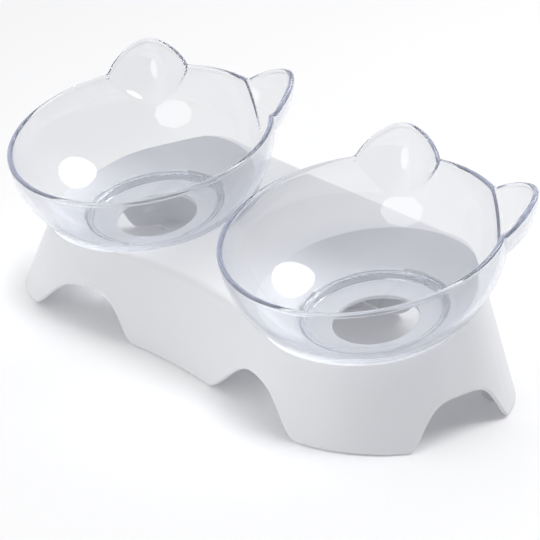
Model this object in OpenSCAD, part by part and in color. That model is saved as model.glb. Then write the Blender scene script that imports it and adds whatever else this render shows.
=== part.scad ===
// Raised double bowl for a cat: a long white moulded stand on six arched feet, whose top face and
// seats lean forward, and two clear bowls with pointed ears that sit in it and lift off.
// Millimetres, +Z up, the table at z = 0, the long side along X, the low front at -Y.
// The origin is under the middle of the whole object.

/* [Stand] */
// Length of the stand where it meets the table
stand_l = 300; // [280:1:330]
// Depth of the stand where it meets the table
stand_d = 145; // [140:1:155]
// Height of the top face above the table, half way between front and back
top_h = 57; // [54:0.5:64]
// Lean of the top face, and of both bowls, towards the front, in degrees
lean = 15; // [8:0.5:17]
// Slope of the side walls away from upright, in degrees
draft = 15.5; // [12:0.5:17]
// Radius of the four big corners at the table
corner_r = 63; // [56:0.5:66]
// How far the front wall is drawn in at its middle
waist_in = 12; // [6:0.5:16]
// Thickness of the moulded wall
wall = 2.4; // [1.8:0.1:3]
// Rounding of the edge round the top face
top_round = 3; // [1.5:0.5:4]

/* [Arches] */
// Half width of the middle foot, from its centre to where the arch starts
mid_foot = 31; // [26:1:36]
// Width of each arch in the front and back walls
arch_w = 70; // [60:1:76]
// Height of the arches in the front and back walls
arch_h = 18.7; // [12:0.1:22]
// Width of the arch in each end wall
end_arch_w = 69; // [58:1:76]
// Height of the arch in each end wall
end_arch_h = 21.2; // [14:0.1:24]

/* [Seats] */
// Distance between the centres of the two bowls
spacing = 168; // [164:0.5:174]
// How far the seats lie in front of the middle of the top face
seat_forward = 6.3; // [3:0.1:8]
// Depth of a seat below the top face, along the bowl's axis
seat_depth = 17.5; // [15:0.5:20]
// Gap all round between the bowl's body and the seat
seat_gap = 1.5; // [1:0.1:3]
// Diameter of the hole in the seat that a bowl is pushed up through
push_hole_d = 44; // [30:1:54]
// Width of each notch in the seat that takes a lug, in degrees
notch_turn = 46; // [40:1:56]

/* [Bowls] */
// Outer diameter of the rim
rim_d = 141.8; // [136:0.1:146]
// Thickness of the rounded rim
rim_bead = 2.8; // [2.6:0.1:3.4]
// Height of a bowl along its axis, from the foot to the rim, without the ears
bowl_h = 54.3; // [52:0.1:60]
// Radius of the round side of the bowl's body
side_r = 52; // [49:0.5:53]
// Thickness of the clear wall
bowl_wall = 2.4; // [1.6:0.1:2.8]
// Outer diameter of the foot ring
foot_d = 74.8; // [68:0.1:76]
// Height of the foot ring below the flat base
foot_h = 4.3; // [3.5:0.1:5]
// Turn of the left bowl in its seat, as it stands, in degrees
left_turn = 10.8; // [-13:0.1:13]
// Turn of the right bowl in its seat, as it stands, in degrees
right_turn = -5.1; // [-13:0.1:13]

/* [Ears] */
// Angle of each ear from the back of the bowl, in degrees
ear_turn = 35.7; // [32:0.1:42]
// Reach of the ear's tip out from the rim
ear_out = 15.8; // [12:0.1:19]
// Height of the ear's tip above the rim
ear_up = 9.7; // [6:0.1:14]
// Width of the ear where it leaves the rim
ear_w = 46.8; // [40:0.1:50]
// Upright radius of the ear's bulging back
ear_back_r = 39.2; // [37:0.1:44]

/* [Pads] */
// Diameter of the rubber pads under the feet
pad_d = 11; // [9:0.5:12]
// Thickness of a pad
pad_h = 2; // [1.6:0.1:3]
// How far a pad stands out below the foot
pad_out = 0.5; // [0.4:0.1:0.8]

/* [Hidden] */
$fn = 64;

// Height of the seat's lip above the top face
lip_up = 0.8;
// Overrun of every cut past the face that it leaves
over = 3;
// Running gap between the bowl's foot and the seat floor
rest_gap = 0.2;
// Running gap round the foot ring in its pocket
pocket_gap = 0.8;
// Reach and height of the lugs on the foot ring, and their width in degrees
lug_out = 2.4;
lug_h = 2.4;
lug_turn = 16;
// Gap between a lug's tip and the back of its notch
notch_gap = 0.6;
// Angles of the lugs and the notches from the back
lug_turns = [0, 120, 240];
// Gap round a pad in its recess
pad_gap = 0.1;
// Wall of the boss round a pad, and its height
boss_wall = 1.8;
boss_h = 4;
// Height of a boss's lower face above the foot's edge
boss_up = 0.3;
// Share of the wall that stays outside a boss at its top
boss_share = 0.2;
// Depth of the ear's bulge centre, above the rim
ear_centre_up = 10.7;
// Shares of a turn of the arch curve: a larger power gives a broader crown
arch_power = 1.61;
end_arch_power = 2.13;
// Steps of the curves in the wall, the arches and the rounded top edge
waist_steps = 14;
corner_steps = 14;
arch_steps = 24;
round_steps = 3;

// Colours as seen
white = [0.90, 0.91, 0.93];
clear = [0.86, 0.89, 0.96, 0.35];
rubber = [0.80, 0.81, 0.83];

slope = tan(draft);
rise = tan(lean);
rim_r = rim_d / 2;
rim_mid_r = rim_r - rim_bead / 2;
side_centre = rim_mid_r + bowl_wall / 2 - side_r;
foot_r = foot_d / 2;
base_depth = bowl_h - foot_h;
seat_floor = bowl_h + rest_gap;
pocket_r = foot_r + pocket_gap;
notch_r = foot_r + lug_out + notch_gap;

// Places along Y and Z, with the middle of the stand at y = 0 before the whole is centred
seat_top = [0, -seat_forward, top_h - seat_forward * rise];
rim_above = seat_floor - seat_depth;
rim_mid = seat_top + rim_above * [0, -sin(lean), cos(lean)];
front_reach = min(rim_mid[1] + rim_bead / 2 * (sin(lean) - 1) - rim_mid_r * cos(lean),
    -stand_d / 2);
mid_y = -(front_reach + stand_d / 2) / 2;

// The outline of the stand at the table: a waist arc in front, tangent to round corners
corner_x = stand_l / 2 - corner_r;
corner_y = stand_d / 2 - corner_r;
waist_span = (corner_x * corner_x + waist_in * waist_in) / (2 * waist_in);
waist_r = waist_span - corner_r;
waist_y = -stand_d / 2 + waist_in - waist_r;
waist_turn = asin(corner_x / waist_span);

// Corners of the outline, counter-clockwise: centre and first and last angle of each
corners = [[[corner_x, -corner_y], -90 - waist_turn, 0], [[corner_x, corner_y], 0, 90],
           [[-corner_x, corner_y], 90, 180], [[-corner_x, -corner_y], 180, 270 + waist_turn]];

// Points of the outline moved inwards by a distance
function outline(inset) = concat(
    [for (i = [1 : waist_steps - 1])
        let (a = waist_turn * (2 * i / waist_steps - 1))
        [0, waist_y] + (waist_r + inset) * [sin(a), cos(a)]],
    [for (c = corners) for (i = [0 : corner_steps])
        let (a = c[1] + (c[2] - c[1]) * i / corner_steps)
        c[0] + (corner_r - inset) * [cos(a), sin(a)]]);

// Height of the top face, or of one parallel to it lower by a depth, over a place in Y
function top_z(y, depth) = top_h - depth / cos(lean) + rise * y;

// One point of a quadratic curve from a to c that is drawn towards b
function curve(a, b, c, t) = (1 - t) * (1 - t) * a + 2 * t * (1 - t) * b + t * t * c;

// Height above the foot at which the wall, moved in by a distance, meets the top face at a depth
function climb(p, step, in, depth) =
    (top_z(p[1] + in * step[1], depth) - pad_out) / (1 - rise * slope * step[1]);

// The moulded shell, open below: sloping walls, a rounded edge and a leaning top face
module stand_shell() {
    foot = outline(0);
    step = outline(1) - foot;
    count = len(foot);
    inner = wall / cos(draft);
    wall_point = function (i, in, up)
        let (p = foot[i] + (slope * up + in) * step[i]) [p[0], p[1], pad_out + up];
    face_point = function (i, in)
        let (p = foot[i] + (slope * climb(foot[i], step[i], 0, 0) + in) * step[i])
        [p[0], p[1], top_z(p[1], 0)];
    rings = concat([for (i = [0 : count - 1]) wall_point(i, 0, 0)],
        [for (s = [0 : round_steps]) for (i = [0 : count - 1])
            let (up = climb(foot[i], step[i], 0, 0))
            curve(wall_point(i, 0, up - top_round), wall_point(i, 0, up),
                  face_point(i, top_round), s / round_steps)],
        [for (i = [0 : count - 1])
            wall_point(i, inner, climb(foot[i], step[i], inner, wall))],
        [for (i = [0 : count - 1]) wall_point(i, inner, 0)],
        [[0, 0, top_z(0, 0)], [0, 0, top_z(0, wall)]]);
    last = round_steps + 1;
    links = concat([for (s = [0 : last - 1]) [s, s + 1]], [[last + 1, last + 2], [last + 2, 0]]);
    polyhedron(rings, concat(
        [for (s = links) for (i = [0 : count - 1])
            let (j = (i + 1) % count)
            [s[0] * count + i, s[1] * count + i, s[1] * count + j, s[0] * count + j]],
        [for (i = [0 : count - 1]) let (j = (i + 1) % count) each [
            [(last + 3) * count, last * count + j, last * count + i],
            [(last + 3) * count + 1, (last + 1) * count + i, (last + 1) * count + j]]]));
}

// The bell-shaped outline of an arch
module arch_outline(w, h, power) {
    polygon(concat([[-w / 2, -over]],
        [for (i = [0 : arch_steps])
            let (u = 2 * i / arch_steps - 1)
            [w / 2 * u, h * (1 + cos(180 * pow(abs(u), power))) / 2]],
        [[w / 2, -over]]));
}

// Places its children in a bowl's frame: origin at the middle of the rim, +Z up the bowl's axis
module bowl_frame(side) {
    translate([side * spacing / 2, mid_y, 0] + rim_mid) rotate([lean, 0, 0]) children();
}

// Half section of the bowl's body, grown by a distance, between two depths below the rim
module body_section(grow, top, bottom) {
    translate([0, -bottom]) square([side_centre, bottom - top]);
    intersection() {
        translate([side_centre, -rim_bead / 2]) circle(side_r + grow);
        translate([0, -bottom]) square([rim_r + grow, bottom - top]);
    }
}

// A ring sector about the bowl's axis, its middle towards the back
module sector(r_in, r_out, low, high, turn) {
    rotate([0, 0, 90 - turn / 2]) rotate_extrude(angle = turn)
        translate([r_in, low]) square([r_out - r_in, high - low]);
}

// The seat before it is hollowed: a round dish under the top face, with a boss for the pocket
module seat_solid() {
    rotate_extrude() {
        body_section(seat_gap + wall, rim_above - lip_up, base_depth + wall);
        translate([0, -seat_floor - wall]) square([notch_r + wall, foot_h + 2 * wall]);
    }
}

// What is cut out of a seat: the dish, the pocket and the hole in its floor, and three notches
module seat_cut() {
    rotate_extrude() {
        body_section(seat_gap, rim_bead / 2, base_depth);
        translate([0, -seat_floor]) square([pocket_r, foot_h + over]);
        translate([0, -seat_floor - wall - over]) square([push_hole_d / 2, wall + 2 * over]);
    }
    for (a = lug_turns) rotate([0, 0, -a])
        sector(foot_r, notch_r, -seat_floor, over - base_depth, notch_turn);
}

// Places of the six pads, each at its boss inside a foot
boss_r = pad_d / 2 + pad_gap + boss_wall;
boss_in = boss_r + slope * (boss_up + boss_h) + boss_share * wall;
pad_reach = (corner_r - boss_in) * sqrt(0.5);
function pad_place(side, back) = side == 0
    ? [0, back * (stand_d / 2 - boss_in) + (back < 0 ? waist_in : 0)]
    : [side * (corner_x + pad_reach), back * (corner_y + pad_reach)];

module at_pad(side, back) {
    p = pad_place(side, back);
    translate([p[0], mid_y + p[1], 0]) children();
}

module stand() color(white) difference() {
    union() {
        translate([0, mid_y, 0]) stand_shell();
        for (side = [-1, 1]) bowl_frame(side) seat_solid();
        for (side = [-1, 0, 1], back = [-1, 1])
            at_pad(side, back) translate([0, 0, pad_out + boss_up]) cylinder(r = boss_r, h = boss_h);
    }
    for (side = [-1, 1]) bowl_frame(side) seat_cut();
    for (side = [-1, 1])
        translate([side * (mid_foot + arch_w / 2), mid_y + stand_d, pad_out])
            rotate([90, 0, 0]) linear_extrude(2 * stand_d)
                arch_outline(arch_w, arch_h, arch_power);
    translate([-stand_l, mid_y, pad_out]) rotate([90, 0, 90]) linear_extrude(2 * stand_l)
        arch_outline(end_arch_w, end_arch_h, end_arch_power);
    for (side = [-1, 0, 1], back = [-1, 1]) at_pad(side, back)
        cylinder(d = pad_d + 2 * pad_gap, h = pad_h);
}

// The ear's back is where two balls meet: an upright pointed bulge
ear_tip = rim_r + ear_out;
ear_root = sqrt(rim_r * rim_r - ear_w * ear_w / 4);
ear_centre = ear_tip - sqrt(ear_back_r * ear_back_r - pow(ear_centre_up - ear_up, 2));
ear_aside = (ear_back_r * ear_back_r - pow(ear_root - ear_centre, 2) - ear_w * ear_w / 4
    - ear_centre_up * ear_centre_up) / ear_w;
ear_ball_r = sqrt(ear_back_r * ear_back_r + ear_aside * ear_aside);

module ear_ball(side, inset) {
    translate([side * ear_aside, ear_centre, ear_centre_up])
        rotate([0, 0, -90]) sphere(ear_ball_r - inset);
}

// The outer half of the bulge, up to just above the tip
module ear_lens(inset) intersection() {
    translate([-rim_r, ear_centre, -rim_r]) cube([2 * rim_r, rim_r, rim_r + ear_up + over]);
    ear_ball(-1, inset);
    ear_ball(1, inset);
}

// What lies above the ear's sloping edge, which rises from the rim to the tip
module above_ear() {
    translate([-rim_r, ear_root, 0]) rotate([atan(ear_up / (ear_tip - ear_root)), 0, 0])
        translate([0, -rim_r, 0]) cube([2 * rim_r, 2 * rim_r, rim_r]);
}

module at_ears() {
    for (side = [-1, 1]) rotate([0, 0, side * ear_turn]) children();
}

module bowl() difference() {
    union() {
        rotate_extrude() {
            difference() {
                body_section(0, rim_bead / 2, base_depth);
                body_section(-bowl_wall, rim_bead / 2 - over, base_depth - bowl_wall);
            }
            translate([rim_mid_r, -rim_bead / 2]) circle(d = rim_bead);
            translate([foot_r - bowl_wall, -bowl_h])
                square([bowl_wall, foot_h + bowl_wall / 2]);
        }
        at_ears() difference() {
            ear_lens(0);
            above_ear();
            rotate_extrude() {
                body_section(-bowl_wall / 2, rim_bead / 2, base_depth);
                translate([0, -rim_bead]) square([rim_mid_r, rim_bead + ear_up + over]);
            }
        }
        for (a = lug_turns) rotate([0, 0, -a]) sector(foot_r - bowl_wall / 2,
            foot_r + lug_out, rest_gap - bowl_h, rest_gap - bowl_h + lug_h, lug_turn);
    }
    at_ears() ear_lens(bowl_wall);
}

module left_bowl() color(clear) bowl_frame(-1) rotate([0, 0, left_turn]) bowl();

module right_bowl() color(clear) bowl_frame(1) rotate([0, 0, right_turn]) bowl();

module pad(side, back) color(rubber) at_pad(side, back) cylinder(d = pad_d, h = pad_h);

stand();
left_bowl();
right_bowl();
pad(-1, -1);  // pad_front_left
pad(1, -1);  // pad_front_right
pad(-1, 1);  // pad_back_left
pad(1, 1);  // pad_back_right
pad(0, -1);  // pad_front_middle
pad(0, 1);  // pad_back_middle
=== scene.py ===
"""Raised double pet bowl: a white moulded stand on arched feet, leaning forward, with two clear
eared bowls that lift off. Its pieces are worked out in millimetres and finished in metres."""

import math

import bpy
import numpy as np
from mathutils import Matrix, Vector


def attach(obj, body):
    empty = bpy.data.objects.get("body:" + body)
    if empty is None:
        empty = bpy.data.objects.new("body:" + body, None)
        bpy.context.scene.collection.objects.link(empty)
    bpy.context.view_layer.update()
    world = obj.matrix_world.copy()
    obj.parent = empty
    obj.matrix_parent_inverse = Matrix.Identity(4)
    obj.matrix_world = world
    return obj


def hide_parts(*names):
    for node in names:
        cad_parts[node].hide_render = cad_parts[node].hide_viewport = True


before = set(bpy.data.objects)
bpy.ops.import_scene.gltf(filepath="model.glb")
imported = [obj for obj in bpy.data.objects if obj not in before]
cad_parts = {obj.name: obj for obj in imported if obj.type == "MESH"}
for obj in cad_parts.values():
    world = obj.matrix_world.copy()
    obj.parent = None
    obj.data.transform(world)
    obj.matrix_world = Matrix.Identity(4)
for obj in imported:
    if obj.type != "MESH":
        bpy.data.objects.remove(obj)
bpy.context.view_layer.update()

MM = 0.001
SIDES = {"left": -1, "right": 1}
PLASTIC_IOR = 1.49

# The stand: its foot, the height and lean of its top, its slopes, corners, edges and arches
STAND_L, STAND_D, TOP_H = 300.0, 145.0, 57.0
LEAN = math.radians(15.0)
DRAFT, END_DRAFT, CORNER_DRAFT = (math.tan(math.radians(a)) for a in (15.0, 17.0, 18.5))
CORNER_R, WAIST_IN, WALL = 0.455 * STAND_D, 12.0, 2.4
TOP_ROUND, EDGE_ROUND, LIP_ROUND = 3.0, 1.1, 0.9
MID_FOOT, ARCH_W, ARCH_H, ARCH_POWER = 29.0, 74.0, 19.75, 1.45
END_ARCH_W, END_ARCH_H, END_ARCH_POWER = 69.0, 20.8, 2.0

# The seats, in the bowls' frame
SPACING, SEAT_FORWARD, SEAT_DEPTH, SEAT_GAP = 168.0, 6.3, 17.5, 1.5
PUSH_HOLE_R, NOTCH_TURN, POCKET_GAP, NOTCH_GAP = 22.0, 46.0, 0.8, 0.6
SEAT_COLUMNS = 288

# The bowls, with the lugs on the foot ring and each bowl's own turn in its seat
RIM_R, RIM_BEAD, BOWL_H, BOWL_WALL = 70.9, 2.8, 54.3, 2.4
FOOT_H, FOOT_SET, REST_GAP = 4.3, 0.2, 0.2
LUG_OUT, LUG_H, LUG_TURN, LUG_TURNS = 2.4, 2.4, 16.0, (0.0, 120.0, 240.0)
TURNS = {"left": 10.8, "right": -5.1}

# The ears: two balls meet in each, and a third blunts the ridge between them
EAR_TURN, EAR_OUT, EAR_UP, EAR_W = 35.7, 15.4, 9.7, 46.8
EAR_BACK_R, EAR_BLUNT, EAR_CENTRE_UP = 38.2, 1.0, 10.7

# A bowl's columns are closest across the ears. Each stretch of a half turn, from the back, is given
# by where it ends: as a share of the columns, and in degrees
BOWL_COLUMNS, EDGE_STEPS = 520, 6
STRETCHES = ((0.06, 14.0), (0.62, 59.0), (1.0, 180.0))

# The pads under the feet, and the bosses that take them
PAD_D, PAD_H, PAD_OUT, PAD_GAP = 11.0, 2.0, 0.5, 0.1
BOSS_WALL, BOSS_H, BOSS_UP, BOSS_SHARE = 1.8, 4.0, 0.3, 0.2

# What follows from the sizes above
BASE_DEPTH = BOWL_H - FOOT_H
RIM_MID_R, SIDE_DOWN, SIDE_R = RIM_R - RIM_BEAD / 2, RIM_BEAD / 2, 1.04 * BASE_DEPTH
SIDE_CENTRE = RIM_MID_R + BOWL_WALL / 2 - SIDE_R
FOOT_R = SIDE_CENTRE + math.sqrt(SIDE_R**2 - (BASE_DEPTH - SIDE_DOWN) ** 2) + FOOT_SET
SEAT_FLOOR = BOWL_H + REST_GAP
POCKET_R = FOOT_R + POCKET_GAP
NOTCH_R = FOOT_R + LUG_OUT + NOTCH_GAP
RIM_ABOVE = SEAT_FLOOR - SEAT_DEPTH
RISE = math.tan(LEAN)

# Places in Y and Z of the middle of the stand and of the rims
RIM_Y = -SEAT_FORWARD - RIM_ABOVE * math.sin(LEAN)
RIM_Z = TOP_H - SEAT_FORWARD * RISE + RIM_ABOVE * math.cos(LEAN)
FRONT = RIM_Y + RIM_BEAD / 2 * (math.sin(LEAN) - 1) - RIM_MID_R * math.cos(LEAN)
MID_Y = -(FRONT + STAND_D / 2) / 2


# Node trees


class Value:
    """A value in a node tree, so that the rule of a shape or a finish reads as plain sums."""

    def __init__(self, tree, socket):
        self.tree = tree
        self.socket = socket

    def step(self, operation, *others):
        node = self.tree.nodes.new("ShaderNodeMath")
        node.operation = operation
        for place, value in zip(node.inputs, (self, *others)):
            fill(self.tree, place, value)
        return Value(self.tree, node.outputs[0])

    def __add__(self, other):
        return self.step("ADD", other)

    def __sub__(self, other):
        return self.step("SUBTRACT", other)

    def __rsub__(self, other):
        return self.step("MULTIPLY_ADD", -1.0, other)

    def __mul__(self, other):
        return self.step("MULTIPLY", other)

    def __truediv__(self, other):
        return self.step("DIVIDE", other)

    def __neg__(self):
        return self.step("MULTIPLY", -1.0)

    def __abs__(self):
        return self.step("ABSOLUTE")

    def square(self):
        return self.step("MULTIPLY", self)

    def root(self):
        return self.step("MAXIMUM", 0.0).step("SQRT")

    def sine(self):
        return self.step("SINE")

    def cosine(self):
        return self.step("COSINE")

    def least(self, other):
        return self.step("MINIMUM", other)

    def most(self, other):
        return self.step("MAXIMUM", other)

    def soft_least(self, other, reach):
        return self.step("SMOOTH_MIN", other, reach)

    def soft_most(self, other, reach):
        return self.step("SMOOTH_MAX", other, reach)

    def kept(self):
        """Held between nought and one."""
        return self.most(0.0).least(1.0)


def fill(tree, place, value):
    """Sets an input socket, or links it where the value comes from a node."""
    if isinstance(value, Value):
        tree.links.new(value.socket, place)
    elif isinstance(value, bpy.types.NodeSocket):
        tree.links.new(value, place)
    else:
        place.default_value = value


def add_node(tree, kind, inputs=None, **settings):
    node = tree.nodes.new(kind)
    for name, value in settings.items():
        setattr(node, name, value)
    for name, value in (inputs or {}).items():
        fill(tree, node.inputs[name], value)
    return node


def new_tree(kind, name, inputs, outputs):
    """A node tree with named inputs and outputs: the tree, its inputs as values, its end."""
    tree = bpy.data.node_groups.new(name, kind)
    for label, (socket, value) in inputs.items():
        item = tree.interface.new_socket(label, in_out="INPUT", socket_type=socket)
        if value is not None:
            item.default_value = value
    for label, socket in outputs.items():
        tree.interface.new_socket(label, in_out="OUTPUT", socket_type=socket)
    start = tree.nodes.new("NodeGroupInput")
    end = tree.nodes.new("NodeGroupOutput")
    return tree, {label: Value(tree, start.outputs[label]) for label in inputs}, end


def use_group(tree, group, inputs):
    kind = "GeometryNodeGroup" if tree.bl_idname == "GeometryNodeTree" else "ShaderNodeGroup"
    return add_node(tree, kind, inputs, node_tree=group)


def input_name(name):
    """The name of a tree's input, written out."""
    return name.replace("_", " ").capitalize()


def numbers(**values):
    """Number inputs of a tree, with the values that they start from."""
    return {input_name(name): ("NodeSocketFloat", value) for name, value in values.items()}


def combined(tree, x, y, z):
    return add_node(tree, "ShaderNodeCombineXYZ", {"X": x, "Y": y, "Z": z}).outputs[0]


def split(tree, vector):
    """The three parts of a vector, as values."""
    parts = add_node(tree, "ShaderNodeSeparateXYZ", {"Vector": vector}).outputs
    return [Value(tree, part) for part in parts]


def grown(piece, tree, values):
    """Runs a tree on a piece's mesh with the values of its inputs, and leaves a plain mesh."""
    step = piece.modifiers.new(tree.name, "NODES")
    step.node_group = tree
    for item in tree.interface.items_tree:
        if item.item_type == "SOCKET" and item.in_out == "INPUT" and item.name in values:
            step[item.identifier] = values[item.name]
    take_result(piece)


def take_result(piece):
    """Turns what a piece's modifiers make into its own plain mesh."""
    view = bpy.context.evaluated_depsgraph_get()
    mesh = bpy.data.meshes.new_from_object(piece.evaluated_get(view), depsgraph=view)
    piece.modifiers.clear()
    piece.data = mesh


# Meshes


def new_piece(name, points, edges, faces):
    mesh = bpy.data.meshes.new(name)
    mesh.from_pydata(np.asarray(points, float).tolist(), edges, faces)
    mesh.update()
    piece = bpy.data.objects.new(name, mesh)
    bpy.context.scene.collection.objects.link(piece)
    return piece


def ring_mesh(name, rows, start, end, matrix=None):
    """A closed skin from rows of points, each row a closed ring, with a pole at each end."""
    rows = np.asarray(rows, float)
    count, around = rows.shape[:2]
    points = np.concatenate([rows.reshape(-1, 3), [start, end]])
    column = np.arange(around)
    beside = (column + 1) % around
    faces = []
    for r in range(count - 1):
        low, high = r * around, (r + 1) * around
        faces += np.column_stack([low + column, low + beside, high + beside, high + column]).tolist()
    last, pole = (count - 1) * around, count * around
    faces += np.column_stack([beside, column, np.full(around, pole)]).tolist()
    faces += np.column_stack([last + column, last + beside, np.full(around, pole + 1)]).tolist()
    if matrix is not None:
        turn = np.array(matrix)
        points = points @ turn[:3, :3].T + turn[:3, 3]
    piece = new_piece(name, points * MM, [], faces)
    face_outwards(piece.data)
    piece.data.shade_smooth()
    return piece


def face_outwards(mesh):
    """Turns a closed skin's faces outwards, by the sign of the volume that they enclose."""
    mesh.calc_loop_triangles()
    points = np.array([v.co for v in mesh.vertices])
    a, b, c = (points[[t.vertices[i] for t in mesh.loop_triangles]] for i in range(3))
    if np.einsum("ij,ij->i", a, np.cross(b, c)).sum() < 0:
        mesh.flip_normals()


def combine(piece, others, operation):
    """Joins other closed skins to a piece or cuts them from it, and leaves a plain mesh."""
    for other in others:
        step = piece.modifiers.new("combine", "BOOLEAN")
        step.operation, step.solver, step.object = operation, "MANIFOLD", other
        take_result(piece)
        bpy.data.objects.remove(other)
    return piece


def bowl_matrix(side, turn=0.0):
    """From a bowl's frame, with the rim's middle at its origin, to the object's frame."""
    return (Matrix.Translation((SIDES[side] * SPACING / 2, MID_Y + RIM_Y, RIM_Z))
            @ Matrix.Rotation(LEAN, 4, "X") @ Matrix.Rotation(math.radians(turn), 4, "Z"))


def turned(profile, around, spread=0.0):
    """Rows of a turned shape from a profile of (radius, height) points. A point with a third
    item lies further out by the spread, which may change round the shape."""
    turn = np.linspace(-math.pi, math.pi, around, endpoint=False)
    rows = []
    for point in profile:
        radius = point[0] + np.zeros(around) + (spread if len(point) == 3 else 0.0)
        rows.append(np.stack([radius * np.sin(turn), radius * np.cos(turn), point[1] + 0.0 * turn], -1))
    return np.array(rows)


def arc(centre_r, centre_z, radius, first, last, steps):
    """Points of an arc in a profile, angles in degrees from outwards, up positive."""
    turn = np.radians(np.linspace(first, last, steps + 1))
    return list(zip(centre_r + radius * np.cos(turn), centre_z + radius * np.sin(turn)))


# The bowls


def ball_tree():
    """How far from the bowl's axis a ball reaches, at a turn from the ear's middle."""
    tree, given, end = new_tree(
        "GeometryNodeTree", "reach_to_ball",
        numbers(turn=0.0, height=0.0, aside=0.0, out=0.0, up=0.0, radius=1.0),
        {"Reach": "NodeSocketFloat"})
    turn, aside, out = given["Turn"], given["Aside"], given["Out"]
    toward = turn.sine() * aside + turn.cosine() * out
    level = given["Radius"].square() - (given["Height"] - given["Up"]).square()
    across = toward.square() - aside.square() - out.square() + level.most(0.0)
    fill(tree, end.inputs["Reach"], toward + across.root())
    return tree


# Inputs of the trees that follow the wall and its edge. make_bowls gives those that are 0 here
WALL_SIZES = dict(side_radius=SIDE_R, side_centre=SIDE_CENTRE, side_down=SIDE_DOWN, ear_turn=EAR_TURN,
                  ear_aside=0.0, ear_centre=0.0, ear_centre_up=EAR_CENTRE_UP, ear_side_radius=0.0,
                  ear_ridge_radius=EAR_BACK_R, ridge_softness=1.6, crease_softness=0.4)
EDGE_SIZES = dict(wall=BOWL_WALL, ear_root=0.0, ear_slope=0.0)


def wall_tree():
    """Radius of the bowl's wall, ears and all, at a turn from the back and at a height."""
    tree, given, end = new_tree(
        "GeometryNodeTree", "wall_with_ears",
        numbers(turn=0.0, height=0.0, inset=0.0, **WALL_SIZES), {"Reach": "NodeSocketFloat"})
    ball = ball_tree()
    height, inset = given["Height"], given["Inset"]
    drop = (height + given["Side down"]).least(0.0)
    reach = given["Side centre"] + ((given["Side radius"] - inset).square() - drop.square()).root()
    for side in SIDES.values():
        off = given["Turn"] - given["Ear turn"].step("RADIANS") * side

        def ball_reach(aside, radius):
            inputs = {"Turn": off, "Height": height, "Aside": aside, "Out": given["Ear centre"],
                      "Up": given["Ear centre up"], "Radius": radius - inset}
            return Value(tree, use_group(tree, ball, inputs).outputs["Reach"])

        one = ball_reach(given["Ear aside"], given["Ear side radius"])
        other = ball_reach(-given["Ear aside"], given["Ear side radius"])
        middle = ball_reach(given["Ear aside"] * 0.0, given["Ear ridge radius"])
        soft = given["Ridge softness"]
        ear = one.soft_least(other, soft).soft_least(middle, soft)
        reach = reach.soft_most(ear, given["Crease softness"])
    fill(tree, end.inputs["Reach"], reach)
    return tree


def edge_tree(wall):
    """One step towards the height of the edge's middle, round the rim and over the ears."""
    tree, given, end = new_tree(
        "GeometryNodeTree", "edge_height_step",
        numbers(turn=0.0, height=0.0, edge_softness=0.3, **WALL_SIZES, **EDGE_SIZES),
        {"Height": "NodeSocketFloat"})
    inputs = {name: given[name] for name in numbers(turn=0.0, height=0.0, **WALL_SIZES)}
    inputs["Inset"] = given["Wall"] * 0.5
    reach = Value(tree, use_group(tree, wall, inputs).outputs["Reach"])
    climb = reach * 0.0
    for side in SIDES.values():
        off = given["Turn"] - given["Ear turn"].step("RADIANS") * side
        slope = given["Ear slope"] * (reach * off.cosine() - given["Ear root"])
        climb = climb.soft_most(slope, given["Edge softness"])
    fill(tree, end.inputs["Height"], climb - given["Side down"])
    return tree


def column_turn(off):
    """Turn of a column from the back, where off goes evenly from -0.5 to 0.5."""
    away = abs(off) * 2.0
    spread = away * 0.0
    share, turn, pace = 0.0, 0.0, 0.0
    for next_share, next_turn in STRETCHES:
        next_pace = math.radians(next_turn - turn) / (next_share - share)
        spread = spread + (away - share).most(0.0) * (next_pace - pace)
        share, turn, pace = next_share, next_turn, next_pace
    return spread * off.step("SIGN")


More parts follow.
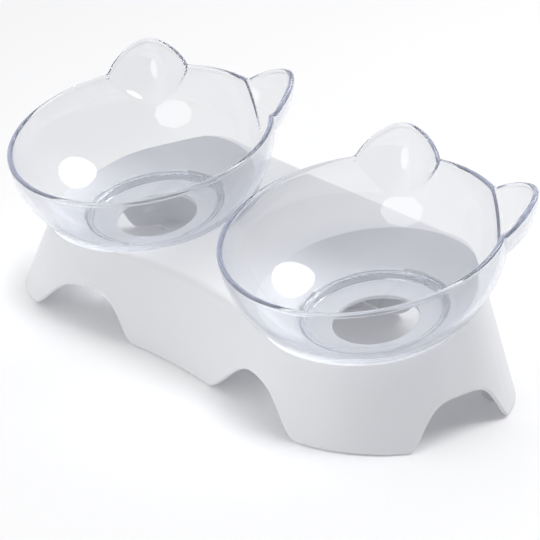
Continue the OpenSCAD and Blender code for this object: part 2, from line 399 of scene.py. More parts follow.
def bowl_tree():
    """Turns a profile into a bowl. The profile's points carry how they follow the wall: how far
    up it they lie, on which skin, how far round the bead, and how much of a lug they take."""
    tree, given, end = new_tree(
        "GeometryNodeTree", "clear_bowl",
        {"Profile": ("NodeSocketGeometry", None), "Columns": ("NodeSocketInt", BOWL_COLUMNS),
         "Material": ("NodeSocketMaterial", None),
         **numbers(bead=RIM_BEAD, lug_reach=LUG_OUT, lug_width=LUG_TURN, lug_flank=0.8,
                   sew_within=0.005, **WALL_SIZES, **EDGE_SIZES)},
        {"Bowl": "NodeSocketGeometry"})
    wall = wall_tree()
    edge_step = edge_tree(wall)
    profile = given["Profile"]
    rows = add_node(tree, "GeometryNodeAttributeDomainSize", {"Geometry": profile}, component="MESH")
    rows = Value(tree, rows.outputs["Point Count"])
    grid = add_node(tree, "GeometryNodeMeshGrid",
                    {"Size X": 1.0, "Size Y": 1.0, "Vertices X": given["Columns"] + 1, "Vertices Y": rows})
    off, up, _ = split(tree, add_node(tree, "GeometryNodeInputPosition").outputs[0])
    turn = column_turn(off)
    row = ((up + 0.5) * (rows - 1.0)).step("ROUND")

    def sampled(value, kind):
        inputs = {"Geometry": profile, "Value": value, "Index": row}
        return add_node(tree, "GeometryNodeSampleIndex", inputs, data_type=kind).outputs["Value"]

    def marked(name):
        node = add_node(tree, "GeometryNodeInputNamedAttribute", {"Name": name}, data_type="FLOAT")
        return Value(tree, sampled(node.outputs["Attribute"], "FLOAT"))

    point = sampled(add_node(tree, "GeometryNodeInputPosition").outputs[0], "FLOAT_VECTOR")
    radius, _, height = split(tree, point)
    share, skin, rise, shaped, lug = (marked(name) for name in MARKS)
    wall_inputs = {name: given[name] for name in numbers(**WALL_SIZES)}
    edge_inputs = {name: given[name] for name in numbers(**WALL_SIZES, **EDGE_SIZES)}
    edge = -given["Side down"]
    for _ in range(EDGE_STEPS):
        step = use_group(tree, edge_step, dict(edge_inputs, Turn=turn, Height=edge))
        edge = Value(tree, step.outputs["Height"])
    level = height + (edge - height) * share

    def reach(inset):
        inputs = dict(wall_inputs, Turn=turn, Height=level, Inset=inset)
        return Value(tree, use_group(tree, wall, inputs).outputs["Reach"])

    outer, inner = reach(0.0), reach(given["Wall"])
    lugs = share * 0.0
    for middle in LUG_TURNS:
        away = abs((turn.step("DEGREES") - middle).step("WRAP", 180.0, -180.0))
        lugs = lugs + ((given["Lug width"] * 0.5 - away) * given["Lug flank"] + 0.5).kept()
    plain = radius + lugs * lug * given["Lug reach"]
    radius = plain + (outer + (inner - outer) * skin - plain) * shaped
    height = height + (level + given["Bead"] * 0.5 * rise - height) * shaped
    at = combined(tree, radius * turn.sine(), radius * turn.cosine(), height)
    placed = add_node(tree, "GeometryNodeSetPosition", {"Geometry": grid.outputs["Mesh"], "Position": at})
    sewn = add_node(tree, "GeometryNodeMergeByDistance",
                    {"Geometry": placed.outputs[0], "Distance": given["Sew within"]})
    real = add_node(tree, "GeometryNodeRealizeInstances", {"Geometry": sewn.outputs[0]})
    smooth = add_node(tree, "GeometryNodeSetShadeSmooth", {"Geometry": real.outputs[0]})
    clad = add_node(tree, "GeometryNodeSetMaterial",
                    {"Geometry": smooth.outputs[0], "Material": given["Material"]})
    fill(tree, end.inputs["Bowl"], clad.outputs[0])
    return tree


# What each point of a bowl's profile carries, after its radius and height: share of the way up the
# wall, skin (0 outer, 1 inner), way round the bead, whether the ears shape it, and share of a lug
MARKS = ("share", "skin", "rise", "shaped", "lug")


def bowl_profile(wall_steps=38, bead_steps=34):
    """The section of a bowl, from under its base, over the rim, to the middle of its floor."""
    hub_r, recess_round, foot_round = 4.0, 0.8, 0.7
    # Where flat rows stop short of a bend, and how far up the sides start from base and floor
    recess_room, floor_room, ring_room, side_up, floor_up = 1.0, 1.2, 0.5, 0.25, 0.3
    # A lug's soft edges, the thin step at its top and bottom, and its share of the reach there
    lug_soft, lug_step, lug_start = 0.4, 0.05, 0.85
    inside = FOOT_R - BOWL_WALL
    floor = BASE_DEPTH - BOWL_WALL
    inside_r = SIDE_R - BOWL_WALL
    # Degrees below the level: the plain side ends at the first, and the rows that take the ears'
    # shape set out from the second
    plain_to, shaped_from = 37.0, 36.0
    # The bead starts this many radians before its half turn, the wall ends this share of the
    # bead's half height under its middle, and the rows lie closer towards the rim
    bead_from, tuck, crowding = 0.4, 0.55, 1.25

    def plain(points):
        return [(r, z, 0, 0, 0, 0, 0) for r, z in points]

    def shaped(radius, skin, shares):
        foot = -SIDE_DOWN - radius * math.sin(math.radians(shaped_from))
        return [(RIM_R, foot, share, skin, -tuck * share, 1, 0) for share in shares]

    def side(radius, first, last, steps):
        return plain(arc(SIDE_CENTRE, -SIDE_DOWN, radius, -first, -last, steps))

    def side_angle(depth, radius):
        return math.degrees(math.asin((depth - SIDE_DOWN) / radius))

    base_radii = [0.0, *np.linspace(hub_r, inside - recess_room, 9)]
    rows = plain([(r, -BASE_DEPTH) for r in base_radii])
    rows += plain(arc(inside - recess_round, -BASE_DEPTH - recess_round, recess_round, 90.0, 0.0, 3))
    rows += plain(arc(inside + foot_round, -BOWL_H + foot_round, foot_round, 180.0, 270.0, 4))
    rows += plain(arc(FOOT_R - foot_round, -BOWL_H + foot_round, foot_round, 270.0, 330.0, 3))
    low = -BOWL_H + REST_GAP
    high = low + LUG_H
    # Up the foot ring, with how far out a lug has come at each height
    for z, lug in ((low + lug_soft, 0.0), (low + lug_soft + lug_step, lug_start),
                   (low + 2 * lug_soft, 1.0), (high - lug_soft, 1.0), (high - lug_step, lug_start),
                   (high, 0.0), (-BASE_DEPTH - ring_room, 0.0)):
        rows.append((FOOT_R, z, 0, 0, 0, 0, lug))
    rows += side(SIDE_R, side_angle(BASE_DEPTH - side_up, SIDE_R), plain_to, 14)
    shares = 1 - (1 - np.linspace(0.0, 1.0, wall_steps)) ** crowding
    rows += shaped(SIDE_R, 0, shares)
    for a in np.linspace(-bead_from, math.pi + bead_from, bead_steps + 1):
        rows.append((RIM_R, 0, 1, (1 - math.cos(a) * RIM_BEAD / BOWL_WALL) / 2, math.sin(a), 1, 0))
    rows += shaped(inside_r, 1, shares[::-1])
    last = side_angle(floor - floor_up, inside_r)
    rows += side(inside_r, plain_to, last, 16)
    floor_r = SIDE_CENTRE + inside_r * math.cos(math.radians(last)) - floor_room
    rows += plain([(r, -floor) for r in (*np.linspace(floor_r, hub_r, 10), 0.0)])
    return np.array(rows, float)


def make_bowls(material):
    """Both bowls, each turned as it stands in its seat."""
    root = math.sqrt(RIM_R**2 - EAR_W**2 / 4)
    centre = RIM_R + EAR_OUT - math.sqrt(EAR_BACK_R**2 - (EAR_CENTRE_UP - EAR_UP) ** 2)
    ridge = EAR_BACK_R + EAR_BLUNT
    aside = (ridge**2 - (root - centre) ** 2 - EAR_W**2 / 4 - EAR_CENTRE_UP**2) / EAR_W
    rows = bowl_profile()
    points = [(r, 0.0, z) for r, z in rows[:, :2]]
    edges = [(i, i + 1) for i in range(len(points) - 1)]
    tree = bowl_tree()
    values = {"Material": material, "Ear aside": aside, "Ear centre": centre,
              "Ear side radius": math.hypot(ridge, aside), "Ear root": root,
              "Ear slope": EAR_UP / (RIM_R + EAR_OUT - root)}
    for side in SIDES:
        piece = new_piece(f"{side}_clear_bowl", points, edges, [])
        for column, name in enumerate(MARKS, 2):
            mark = piece.data.attributes.new(name, "FLOAT", "POINT")
            mark.data.foreach_set("value", rows[:, column])
        grown(piece, tree, values)
        piece.data.transform(Matrix.Scale(MM, 4) @ bowl_matrix(side, TURNS[side]))
        face_outwards(piece.data)
        finish_piece(piece, f"{side}_bowl", [f"{side}_bowl"])


# The stand


def outline(waist_steps=230, corner_steps=84, end_steps=16, back_steps=160):
    """Points of the stand's outline where it meets the table, and the way inwards at each."""
    corner_x, corner_y = STAND_L / 2 - CORNER_R, STAND_D / 2 - CORNER_R
    span = (corner_x**2 + WAIST_IN**2) / (2 * WAIST_IN)
    waist_r, waist_y = span - CORNER_R, -STAND_D / 2 + WAIST_IN - (span - CORNER_R)
    reach = math.asin(corner_x / span)
    points, inwards = [], []

    def add(point, way):
        points.append(np.array(point, float))
        inwards.append(way)

    def straight(a, b, way, steps):
        for share in np.linspace(0.0, 1.0, steps + 1)[1:-1]:
            add(np.array(a) + (np.array(b) - np.array(a)) * share, way)

    def corner(x, y, first, last):
        for a in np.linspace(first, last, corner_steps):
            out = np.array([math.cos(a), math.sin(a)])
            add(np.array([x, y]) + CORNER_R * out, -out)

    for a in np.linspace(-reach, reach, waist_steps)[1:-1]:
        out = np.array([math.sin(a), math.cos(a)])
        add(np.array([0, waist_y]) + waist_r * out, out)
    half_l, half_d, turn = STAND_L / 2, STAND_D / 2, math.pi / 2
    corner(corner_x, -corner_y, -turn - reach, 0.0)
    straight((half_l, -corner_y), (half_l, corner_y), (-1.0, 0.0), end_steps)
    corner(corner_x, corner_y, 0.0, turn)
    straight((corner_x, half_d), (-corner_x, half_d), (0.0, -1.0), back_steps)
    corner(-corner_x, corner_y, turn, 2 * turn)
    straight((-half_l, corner_y), (-half_l, -corner_y), (1.0, 0.0), end_steps)
    corner(-corner_x, -corner_y, 2 * turn, 3 * turn + reach)
    return np.array(points), np.array(inwards, float)


# The slope changes round the outline: one on the sides, one on the ends, most at the corners
POINTS, INWARDS = outline()
END_SHARE = INWARDS[:, 0] ** 2
SLOPES = (DRAFT * (1 - END_SHARE) + END_DRAFT * END_SHARE
          + 4 * END_SHARE * (1 - END_SHARE) * (CORNER_DRAFT - (DRAFT + END_DRAFT) / 2))


def bell(away, half, height, power):
    """Height of a smooth arch at a distance from its middle. The power makes it fuller."""
    share = np.clip(np.abs(away) / half, 0.0, 1.0)
    return np.where(share < 1.0, height * (1 + np.cos(math.pi * share**power)) / 2, 0.0)


def top_height(y, depth=0.0):
    """Height of the leaning top face, or of the plane that lies this deep under it."""
    return TOP_H - depth / math.cos(LEAN) + RISE * y


def climb(in_by, depth=0.0):
    """Height above the foot's edge at which the wall, moved in, meets the top face."""
    level = top_height(POINTS[:, 1] + in_by * INWARDS[:, 1], depth) - PAD_OUT
    return level / (1 - RISE * SLOPES * INWARDS[:, 1])


def wall_point(height, in_by):
    """Points of the wall, moved in, at a height above the foot's edge, all round."""
    at = POINTS + (SLOPES * height + in_by)[:, None] * INWARDS
    return np.column_stack([at, height + PAD_OUT + 0.0 * SLOPES])


def face_point(in_by, depth=0.0, start=0.0):
    """Points of the top face, or of the plane this deep under it, all round. They lie in from
    the wall, which is itself moved in by the start."""
    at = POINTS + (SLOPES * climb(start, depth) + start + in_by)[:, None] * INWARDS
    return np.column_stack([at, top_height(at[:, 1], depth)])


def arch_height(in_by, tries=60):
    """Height of the lower edge of the wall above the foot's edge, all round. The wall slopes, so
    the height and the place under the arch are brought together step by step."""
    height = np.zeros(len(POINTS))
    for _ in range(tries):
        at = wall_point(height, in_by)
        front = bell(np.abs(at[:, 0]) - MID_FOOT - ARCH_W / 2, ARCH_W / 2, ARCH_H, ARCH_POWER)
        ends = bell(at[:, 1], END_ARCH_W / 2, END_ARCH_H, END_ARCH_POWER)
        ends = np.where(np.abs(at[:, 0]) > STAND_L / 4, ends, 0.0)
        height = 0.5 * height + 0.5 * np.maximum(front, ends)
    return height


def unit(v):
    """Vectors of the same directions, with a length of one."""
    return v / np.linalg.norm(v, axis=-1, keepdims=True)


def moved(rows):
    """Rows moved from the outline's own middle to their place in the object."""
    return [row + np.array([0.0, MID_Y, 0.0]) for row in rows]


# How far in from the wall the rows of the top face lie, and those of its underside. Rows much
# further in fold over each other
TOP_ROWS = (30.0, 20.0, 12.0, 7.0, TOP_ROUND + 1.2)
UNDER_ROWS = (0.5, 2.0, 12.0, 24.0)


def shell_rows(wall_steps=24, inside_steps=9, top_steps=8, edge_steps=6):
    """Rows of the stand's skin: top face, rounded edge, wall, rounded lower edge, inside."""
    inner = WALL / math.cos(math.atan(DRAFT))
    rows = [face_point(in_by) for in_by in TOP_ROWS]
    top = climb(0.0)
    low, corner, high = wall_point(top - TOP_ROUND, 0.0), wall_point(top, 0.0), face_point(TOP_ROUND)
    for t in np.linspace(1.0, 0.0, top_steps):
        rows.append((1 - t) ** 2 * low + 2 * t * (1 - t) * corner + t**2 * high)
    low_out, low_in = wall_point(arch_height(0.0), 0.0), wall_point(arch_height(inner), inner)
    along = unit(np.roll(low_out, -1, 0) - np.roll(low_out, 1, 0))
    across = unit(low_in - low_out - ((low_in - low_out) * along).sum(1)[:, None] * along)
    up = unit(np.cross(along, across))
    up *= np.sign(up[:, 2])[:, None]
    first = low_out + EDGE_ROUND * up
    rows += [low + (first - low) * share for share in np.linspace(0.0, 1.0, wall_steps)[1:]]
    quarter = np.linspace(0.0, math.pi / 2, edge_steps)
    for turn in quarter[1:]:
        rows.append(low_out + EDGE_ROUND * ((1 - math.sin(turn)) * up + (1 - math.cos(turn)) * across))
    for turn in quarter:
        rows.append(low_in + EDGE_ROUND * ((1 - math.cos(turn)) * up - (1 - math.sin(turn)) * across))
    start = low_in + EDGE_ROUND * up
    # The corner under the top face is cut off: the wall stops as far down as the first row is in
    inner_top = wall_point(climb(inner, WALL) - UNDER_ROWS[0], inner)
    rows += [start + (inner_top - start) * share for share in np.linspace(0.0, 1.0, inside_steps)[1:]]
    rows += [face_point(in_by, WALL, inner) for in_by in UNDER_ROWS]
    return moved(rows), (0, MID_Y, top_height(0.0)), (0, MID_Y, top_height(0.0, WALL))


def inner_form(inset=0.5, steps=12):
    """The stand's outer form, drawn in a little: it keeps the seats inside the walls."""
    top = climb(inset, inset)
    rows = [wall_point(top * share, inset) for share in np.linspace(0.0, 1.0, steps)]
    return ring_mesh("form", moved(rows), (0, MID_Y, PAD_OUT), (0, MID_Y, top_height(0.0, inset)))


def seat_body(side, over=6.0, corner=1.0):
    """One seat before it is hollowed: a round dish with a boss under it for the pocket."""
    under, boss_r, bottom = SIDE_R + SEAT_GAP + WALL, NOTCH_R + WALL, -SEAT_FLOOR - WALL
    high = math.degrees(math.asin((RIM_ABOVE - over - SIDE_DOWN) / under))
    low = math.degrees(math.acos((boss_r + corner - SIDE_CENTRE) / under))
    profile = arc(SIDE_CENTRE, -SIDE_DOWN, under, -high, -low, 26)
    profile.append((boss_r, profile[-1][1] - corner))
    profile += arc(boss_r - corner, bottom + corner, corner, 0.0, -90.0, 5)
    return ring_mesh(f"{side}_seat", turned(profile, SEAT_COLUMNS), (0, 0, over - RIM_ABOVE),
                     (0, 0, bottom), bowl_matrix(side))


def seat_space(side):
    """What a seat is hollowed by: push hole, pocket with its notches, and dish with a soft lip."""
    # Bends, how far flat rows stay off them, and how far the space runs past the stand
    hole_round, pocket_round, hole_room, pocket_room = 0.6, 0.5, 1.4, 1.0
    hole_over, lip_over, lip_out = 1.2, 4.0, 1.4
    # How far outside the notches' edge the dish's rows are held, and how much more at each row
    ledge, creep = 0.7, 0.04
    degrees = np.linspace(-180.0, 180.0, SEAT_COLUMNS, endpoint=False)
    away = [np.abs((degrees - t + 180.0) % 360.0 - 180.0) for t in LUG_TURNS]
    notch = (NOTCH_R - POCKET_R) * sum(np.clip(NOTCH_TURN / 2 - a + 0.5, 0.0, 1.0) for a in away)
    bottom, ring_r = -SEAT_FLOOR - WALL, PUSH_HOLE_R + hole_room
    profile = [(ring_r, bottom - hole_over)]
    profile += arc(PUSH_HOLE_R + hole_round, bottom + hole_round, -hole_round, 60.0, 0.0, 4)
    profile += arc(PUSH_HOLE_R + hole_round, -SEAT_FLOOR - hole_round, hole_round, 180.0, 96.0, 4)
    profile += [(r, -SEAT_FLOOR) for r in np.linspace(ring_r, POCKET_R - pocket_room, 5)]
    pocket = arc(POCKET_R - pocket_round, -SEAT_FLOOR + pocket_round, pocket_round, 270.0, 360.0, 3)
    pocket += arc(POCKET_R + pocket_round, -BASE_DEPTH - pocket_round, pocket_round, 180.0, 100.0, 3)
    profile += [(r, z, 1) for r, z in pocket]
    dish, lip = SIDE_R + SEAT_GAP, LIP_ROUND
    low = math.degrees(math.asin((BASE_DEPTH - SIDE_DOWN) / dish))
    high = math.degrees(math.asin((RIM_ABOVE + lip - SIDE_DOWN) / (dish + lip)))
    sweep = arc(SIDE_CENTRE, -SIDE_DOWN, dish, -low, -high, 24)
    lip_r = SIDE_CENTRE + (dish + lip) * math.cos(math.radians(high))
    sweep += arc(lip_r, -RIM_ABOVE - lip, lip, 180.0 - high, 76.0, 6)[1:]
    sweep.append((lip_r + lip_out, -RIM_ABOVE + lip_over))
    dish_rows = turned(sweep, SEAT_COLUMNS)
    turn = np.radians(degrees)
    for step, row in enumerate(dish_rows):
        radius = np.maximum(np.hypot(row[:, 0], row[:, 1]), POCKET_R + notch + ledge + creep * step)
        row[:, 0], row[:, 1] = radius * np.sin(turn), radius * np.cos(turn)
    rows = np.concatenate([turned(profile, SEAT_COLUMNS, notch), dish_rows])
    return ring_mesh(f"{side}_space", rows, (0, 0, bottom - hole_over),
                     (0, 0, -RIM_ABOVE + lip_over), bowl_matrix(side))


def pad_places():
    """Middle of each pad: front row, then back row, each from left to right."""
    boss_in = PAD_D / 2 + PAD_GAP + BOSS_WALL + END_DRAFT * (BOSS_UP + BOSS_H) + BOSS_SHARE * WALL
    reach = (CORNER_R - boss_in) * math.sqrt(0.5)
    x, y = STAND_L / 2 - CORNER_R + reach, STAND_D / 2 - CORNER_R + reach
    front, back = -STAND_D / 2 + boss_in + WAIST_IN, STAND_D / 2 - boss_in
    return [(-x, MID_Y - y), (0.0, MID_Y + front), (x, MID_Y - y),
            (-x, MID_Y + y), (0.0, MID_Y + back), (x, MID_Y + y)]


def boss(x, y, edge=0.3, shoulder=0.5, around=48):
    """A round boss inside a foot, with the recess that takes a pad."""
    inner, low = PAD_D / 2 + PAD_GAP, PAD_OUT + BOSS_UP
    outer, top = inner + BOSS_WALL, low + BOSS_H
    profile = [(inner, PAD_H), (inner, low + edge)]
    profile += arc(inner + edge, low + edge, edge, 180.0, 270.0, 3)
    profile += arc(outer - edge, low + edge, edge, 270.0, 360.0, 3)
    profile += arc(outer - shoulder, top - shoulder, shoulder, 0.0, 90.0, 4)
    return ring_mesh("boss", turned(profile, around), (0, 0, PAD_H), (0, 0, top),
                     Matrix.Translation((x, y, 0)))


def make_stand(material, sharp_from=32.0):
    """The shell with its seats joined on and hollowed, and a boss in each foot."""
    piece = ring_mesh("moulded_stand", *shell_rows())
    for side in SIDES:
        combine(piece, [combine(seat_body(side), [inner_form()], "INTERSECT")], "UNION")
    combine(piece, [seat_space(side) for side in SIDES], "DIFFERENCE")
    combine(piece, [boss(x, y) for x, y in pad_places()], "UNION")
    piece.data.shade_smooth()
    piece.data.set_sharp_from_angle(angle=math.radians(sharp_from))
    piece.data.materials.clear()
    piece.data.materials.append(material)
    finish_piece(piece, "stand", ["stand"])


# The pads


def pad_tree():
    """A round pad with soft edges and faint rings under it, at every point of its mesh."""
    tree, given, end = new_tree(
        "GeometryNodeTree", "rubber_pads",
        {"Places": ("NodeSocketGeometry", None), "Material": ("NodeSocketMaterial", None),
         "Columns": ("NodeSocketInt", 56), "Rows": ("NodeSocketInt", 30),
         **numbers(diameter=PAD_D, thickness=PAD_H, edge_power=0.34, rings=3.0, ring_depth=0.07,
                   ring_fade=6.0, sew_within=0.002)},
        {"Pads": "NodeSocketGeometry"})
    columns = given["Columns"] + 1
    grid = add_node(tree, "GeometryNodeMeshGrid",
                    {"Size X": 1.0, "Size Y": 1.0, "Vertices X": columns, "Vertices Y": given["Rows"]})
    around, lift, _ = split(tree, add_node(tree, "GeometryNodeInputPosition").outputs[0])
    turn, lift = around * (2 * math.pi), lift * math.pi
    power = given["Edge power"]
    out = lift.cosine().most(0.0).step("POWER", power)
    up = abs(lift.sine()).step("POWER", power) * lift.step("SIGN")
    radius = out * given["Diameter"] * 0.5
    groove = (out * given["Rings"] * (2 * math.pi)).cosine() * given["Ring depth"] * 0.5
    fade = ((1.0 - out) * given["Ring fade"]).kept() * (-up).most(0.0)
    height = (up + 1.0) * 0.5 * given["Thickness"] + (groove + given["Ring depth"] * 0.5) * fade
    at = combined(tree, radius * turn.cosine(), radius * turn.sine(), height)
    placed = add_node(tree, "GeometryNodeSetPosition", {"Geometry": grid.outputs["Mesh"], "Position": at})
    sewn = add_node(tree, "GeometryNodeMergeByDistance",
                    {"Geometry": placed.outputs[0], "Distance": given["Sew within"]})
    smooth = add_node(tree, "GeometryNodeSetShadeSmooth", {"Geometry": sewn.outputs[0]})
    copies = add_node(tree, "GeometryNodeInstanceOnPoints",
                      {"Points": given["Places"], "Instance": smooth.outputs[0]})
    real = add_node(tree, "GeometryNodeRealizeInstances", {"Geometry": copies.outputs[0]})
    clad = add_node(tree, "GeometryNodeSetMaterial",
                    {"Geometry": real.outputs[0], "Material": given["Material"]})
    fill(tree, end.inputs["Pads"], clad.outputs[0])
    return tree


def make_pads(material):
    """All six pads as one piece."""
    piece = new_piece("rubber_pads", [(x, y, 0.0) for x, y in pad_places()], [], [])
    grown(piece, pad_tree(), {"Material": material})
    piece.data.transform(Matrix.Scale(MM, 4))
    face_outwards(piece.data)
    nodes = [f"pad_{row}_{place}" for row in ("front", "back") for place in ("left", "middle", "right")]
    finish_piece(piece, "stand", nodes)


# Finishes


def object_place(tree):
    """Where a point of the surface lies in its object, in metres."""
    return add_node(tree, "ShaderNodeTexCoord").outputs["Object"]


def noise(tree, inputs):
    return Value(tree, add_node(tree, "ShaderNodeTexNoise", inputs).outputs["Fac"])


def grain_group():
    """Marks of a moulded surface: a slow drift of tone and a fine grain."""
    tree, given, end = new_tree(
        "ShaderNodeTree", "moulded_grain",
        {"Color": ("NodeSocketColor", (0.8, 0.8, 0.8, 1.0)),
         **numbers(drift=0.02, drift_scale=12.0, grain_scale=1800.0, roughness=0.4, roughness_drift=0.05)},
        {"Color": "NodeSocketColor", "Roughness": "NodeSocketFloat", "Height": "NodeSocketFloat"})
    where = object_place(tree)
    slow = noise(tree, {"Vector": where, "Scale": given["Drift scale"], "Detail": 3.0, "Roughness": 0.5})
    fine = noise(tree, {"Vector": where, "Scale": given["Grain scale"], "Detail": 2.0, "Roughness": 0.6})
    tone = (slow - 0.5) * 2.0 * given["Drift"] + 1.0
    tinted = add_node(tree, "ShaderNodeVectorMath", {0: given["Color"], "Scale": tone}, operation="SCALE")
    fill(tree, end.inputs["Color"], tinted.outputs[0])
    fill(tree, end.inputs["Roughness"], given["Roughness"] + (slow + fine - 1.0) * given["Roughness drift"])
    fill(tree, end.inputs["Height"], fine)
    return tree


def scuff_group():
    """Hairline scuffs in a few directions, as a mask."""
    tree, given, end = new_tree(
        "ShaderNodeTree", "hairline_scuffs",
        numbers(scale=60.0, stretch=14.0, amount=0.4, rareness=0.66, sharpness=14.0),
        {"Mask": "NodeSocketFloat"})
    where = object_place(tree)
    scale = combined(tree, 1.0, given["Stretch"], given["Stretch"])
    total = None
    for turn in ((20.0, 35.0, 10.0), (-40.0, 15.0, 70.0), (65.0, -25.0, 130.0)):
        angles = tuple(math.radians(a) for a in turn)
        rotated = add_node(tree, "ShaderNodeMapping", {"Vector": where, "Rotation": angles})
        stretched = add_node(tree, "ShaderNodeVectorMath", {0: rotated.outputs[0], 1: scale},
                             operation="MULTIPLY")
        lines = noise(tree, {"Vector": stretched.outputs[0], "Scale": given["Scale"], "Detail": 1.0})
        lines = ((lines - given["Rareness"]) * given["Sharpness"]).kept()
        total = lines if total is None else total.most(lines)
    fill(tree, end.inputs["Mask"], total * given["Amount"])
    return tree


def new_material(name, **sockets):
    """A material with one Principled shader: its sockets that hold plain values are set here."""
    material = bpy.data.materials.new(name)
    material.use_nodes = True
    tree = material.node_tree
    tree.nodes.clear()
    out = tree.nodes.new("ShaderNodeOutputMaterial")
    shader = tree.nodes.new("ShaderNodeBsdfPrincipled")
    tree.links.new(shader.outputs["BSDF"], out.inputs["Surface"])
    for socket, value in sockets.items():
        shader.inputs[socket.replace("_", " ")].default_value = value
    return material, tree, shader, out


def add_marks(tree, shader, grain, values, depth, scuffs=None, scuff_values=None):
    """Feeds a material's grain, and its scuffs if it has any, into its shader. Depth is in metres."""
    marks = use_group(tree, grain, values)
    tree.links.new(marks.outputs["Color"], shader.inputs["Base Color"])
    roughness = Value(tree, marks.outputs["Roughness"])
    if scuffs:
        roughness = roughness + Value(tree, use_group(tree, scuffs, scuff_values).outputs["Mask"])
    fill(tree, shader.inputs["Roughness"], roughness)
    bump = add_node(tree, "ShaderNodeBump",
                    {"Strength": 1.0, "Distance": depth, "Height": marks.outputs["Height"]})
    tree.links.new(bump.outputs["Normal"], shader.inputs["Normal"])


def white_plastic(grain, scuffs):
    material, tree, shader, _ = new_material("white_plastic", IOR=PLASTIC_IOR)
    add_marks(tree, shader, grain,
              {"Color": (0.815, 0.82, 0.84, 1.0), "Drift": 0.012, "Drift scale": 9.0,
               "Grain scale": 2200.0, "Roughness": 0.40, "Roughness drift": 0.10},
              0.000012, scuffs, {"Scale": 16.0, "Amount": 0.05})
    return material


def clear_plastic(grain, scuffs):
    """Clear plastic with a faint lavender edge, which lets the lamps' light through to the stand."""
    material, tree, shader, out = new_material(
        "clear_plastic", IOR=PLASTIC_IOR, Transmission_Weight=1.0,
        Sheen_Weight=0.42, Sheen_Roughness=0.45, Sheen_Tint=(0.84, 0.87, 1.0, 1.0))
    add_marks(tree, shader, grain,
              {"Color": (0.875, 0.88, 0.888, 1.0), "Drift": 0.004, "Drift scale": 30.0,
               "Grain scale": 90.0, "Roughness": 0.010, "Roughness drift": 0.008},
              0.00001, scuffs, {"Scale": 22.0, "Amount": 0.06})
    tint = add_node(tree, "ShaderNodeVolumeAbsorption",
                    {"Color": (0.78, 0.81, 0.89, 1.0), "Density": 18.0})
    tree.links.new(tint.outputs["Volume"], out.inputs["Volume"])
    shade = add_node(tree, "ShaderNodeBsdfTransparent", {"Color": (0.94, 0.945, 0.955, 1.0)})
    rays = add_node(tree, "ShaderNodeLightPath")
    mix = add_node(tree, "ShaderNodeMixShader", {"Fac": rays.outputs["Is Shadow Ray"]})
    tree.links.new(shader.outputs["BSDF"], mix.inputs[1])
    tree.links.new(shade.outputs["BSDF"], mix.inputs[2])
    tree.links.new(mix.outputs["Shader"], out.inputs["Surface"])
    return material


def pad_rubber(grain):
    material, tree, shader, _ = new_material("pad_rubber")
    add_marks(tree, shader, grain,
              {"Color": (0.58, 0.59, 0.61, 1.0), "Drift": 0.05, "Drift scale": 160.0,
               "Grain scale": 3000.0, "Roughness": 0.68, "Roughness drift": 0.16}, 0.00003)
    return material


# The studio, in metres

CAMERA_PLACE, CAMERA_LENS, SENSOR = (0.9049, -0.8364, 0.5651), 174.26, 36.0
CAMERA_AZIMUTH, CAMERA_ELEVATION, CAMERA_ROLL = (math.radians(a) for a in (46.93, 23.13, 2.78))
LAMP_PLACE, LAMP_SIZE, LAMP_POWER = (0.42, 0.85, 1.45), 1.0, 13.5
PANEL_PLACE, PANEL_WIDTH, PANEL_STRENGTH = (0.24, -1.12, 0.40), 0.76, 2.2
FLOOR_HALF = 6.0
WHITE = (1.0, 1.0, 1.0, 1.0)

# The white room's dark side: its middle, where it starts to darken, how fast, and its tone
DARK_AZIMUTH, DARK_UP, DARK_START, DARK_SPREAD = math.radians(-10.0), 0.1, -0.05, 0.85
DARK_TONE, ROOM_STRENGTH = (0.20, 0.205, 0.23, 1.0), 0.80


def make_camera():
    level = math.cos(CAMERA_ELEVATION)
    look = np.array([-math.sin(CAMERA_AZIMUTH) * level, math.cos(CAMERA_AZIMUTH) * level,
                     -math.sin(CAMERA_ELEVATION)])
    right = np.array([math.cos(CAMERA_AZIMUTH), math.sin(CAMERA_AZIMUTH), 0.0])
    up = np.cross(right, look)
    cos, sin = math.cos(CAMERA_ROLL), math.sin(CAMERA_ROLL)
    right, up = right * cos + up * sin, up * cos - right * sin
    data = bpy.data.cameras.new("camera")
    data.lens, data.sensor_width = CAMERA_LENS, SENSOR
    camera = bpy.data.objects.new("camera", data)
    rows = [[right[i], up[i], -look[i], CAMERA_PLACE[i]] for i in range(3)]
    camera.matrix_world = Matrix(rows + [[0, 0, 0, 1]])
    bpy.context.scene.collection.objects.link(camera)
    bpy.context.scene.camera = camera


def facing(place, aim):
    """The turn that points a lamp or a lit panel from its place at an aim."""
    return (Vector(place) - Vector(aim)).to_track_quat("Z", "Y")


def make_lamp(aim=(0.0, 0.0, 0.05)):
    """A soft round lamp, high up behind the object and to its right."""
    data = bpy.data.lights.new("overhead", "AREA")
    data.shape, data.size, data.energy = "DISK", LAMP_SIZE, LAMP_POWER
    lamp = bpy.data.objects.new("overhead", data)
    lamp.location = LAMP_PLACE
    lamp.rotation_euler = facing(LAMP_PLACE, aim).to_euler()
    bpy.context.scene.collection.objects.link(lamp)


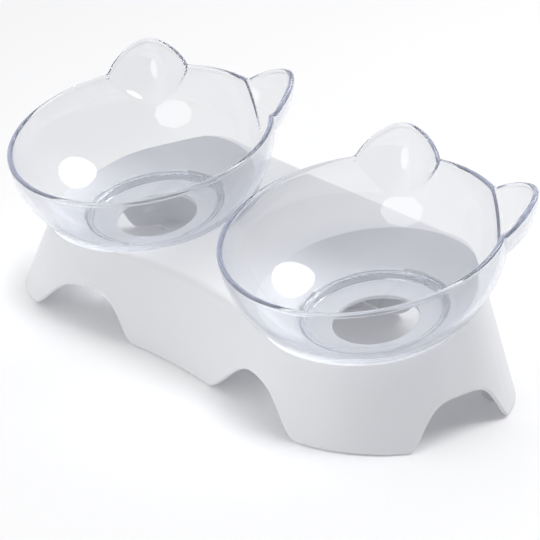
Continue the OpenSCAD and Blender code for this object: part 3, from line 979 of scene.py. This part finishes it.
def make_softbox(aim=(0.0, 0.0, 0.08)):
    """An eight-sided lit panel, whose reflection shows in the bowls."""
    turn = facing(PANEL_PLACE, aim).to_matrix()
    ring = [turn @ Vector((math.cos(a), math.sin(a), 0.0)) * PANEL_WIDTH / 2 + Vector(PANEL_PLACE)
            for a in np.radians(np.arange(22.5, 360.0, 45.0))]
    panel = new_piece("softbox", ring, [], [list(range(8))])
    material, _, _, _ = new_material("softbox", Base_Color=(0.0, 0.0, 0.0, 1.0), Emission_Color=WHITE,
                                     Emission_Strength=PANEL_STRENGTH)
    panel.data.materials.append(material)
    panel.visible_camera = False
    panel.visible_shadow = False


def make_world():
    """A white room with one dark side, to the right and a little to the front."""
    world = bpy.data.worlds.new("world")
    bpy.context.scene.world = world
    world.use_nodes = True
    tree = world.node_tree
    dark_way = Vector((math.cos(DARK_AZIMUTH), math.sin(DARK_AZIMUTH), DARK_UP)).normalized()
    where = add_node(tree, "ShaderNodeTexCoord").outputs["Generated"]
    toward = add_node(tree, "ShaderNodeVectorMath", {0: where, 1: tuple(dark_way)}, operation="DOT_PRODUCT")
    share = ((Value(tree, toward.outputs["Value"]) - DARK_START) / DARK_SPREAD).kept()
    eased = share * share * (3.0 - share * 2.0)
    mix = add_node(tree, "ShaderNodeMix", {"Factor": eased}, data_type="RGBA")
    first, second = (place for place in mix.inputs if place.type == "RGBA")
    first.default_value, second.default_value = WHITE, DARK_TONE
    colour = [place for place in mix.outputs if place.type == "RGBA"][0]
    background = tree.nodes["Background"]
    tree.links.new(colour, background.inputs["Color"])
    background.inputs["Strength"].default_value = ROOM_STRENGTH


def make_floor():
    half = FLOOR_HALF
    floor = new_piece("floor", [(-half, -half, 0), (half, -half, 0), (half, half, 0), (-half, half, 0)], [],
                      [(0, 1, 2, 3)])
    material, _, _, _ = new_material("floor", Base_Color=(0.93, 0.93, 0.935, 1.0), Roughness=0.9,
                                     Emission_Color=WHITE, Emission_Strength=0.07)
    floor.data.materials.append(material)


def finish_piece(piece, body, nodes):
    """Hangs a piece on its body's empty, and hides the nodes that it stands in for."""
    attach(piece, body)
    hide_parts(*nodes)


make_floor()
make_world()
make_lamp()
make_softbox()
make_camera()
moulded_grain, hairline_scuffs = grain_group(), scuff_group()
make_stand(white_plastic(moulded_grain, hairline_scuffs))
make_bowls(clear_plastic(moulded_grain, hairline_scuffs))
make_pads(pad_rubber(moulded_grain))

scene = bpy.context.scene
scene.view_settings.view_transform = "Standard"
scene.cycles.max_bounces = 32
scene.cycles.diffuse_bounces = 8
scene.cycles.glossy_bounces = 24
scene.cycles.transmission_bounces = 24
